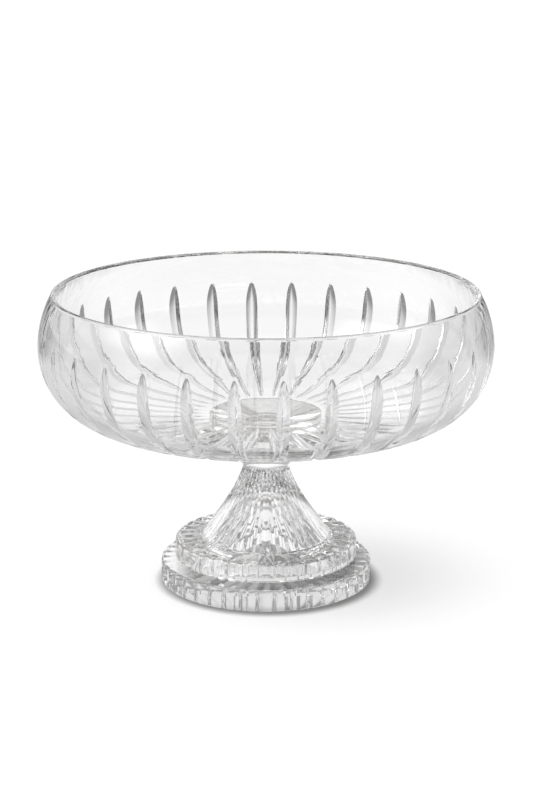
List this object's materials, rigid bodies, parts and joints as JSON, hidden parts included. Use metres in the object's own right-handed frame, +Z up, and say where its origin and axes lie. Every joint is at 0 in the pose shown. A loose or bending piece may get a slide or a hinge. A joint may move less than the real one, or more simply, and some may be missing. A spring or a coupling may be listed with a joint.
{
  "type": "footed bowl",
  "caption": "Wide cut crystal bowl with leaf-shaped cuts round its sides, on a flared collar, a fluted bell stem and a stepped foot with panelled edges; a table centrepiece.",
  "frame": {"origin": "middle of the face that the foot rests on", "axes": "+Z up along the bowl's axis, -Y towards the front of the picture"},
  "size_m": [0.2806, 0.2806, 0.185],
  "materials": {
    "cut_crystal": "clear crystal, cut and polished",
    "clear_bond": "clear cured adhesive film, faintly warm"
  },
  "bodies": {
    "root": {"bowl": "cut_crystal", "bowl_bond": "clear_bond", "collar": "cut_crystal", "collar_bond": "clear_bond", "stem": "cut_crystal", "stem_bond": "clear_bond", "upper_tier": "cut_crystal", "tier_bond": "clear_bond", "lower_tier": "cut_crystal"}
  },
  "joints": []
}
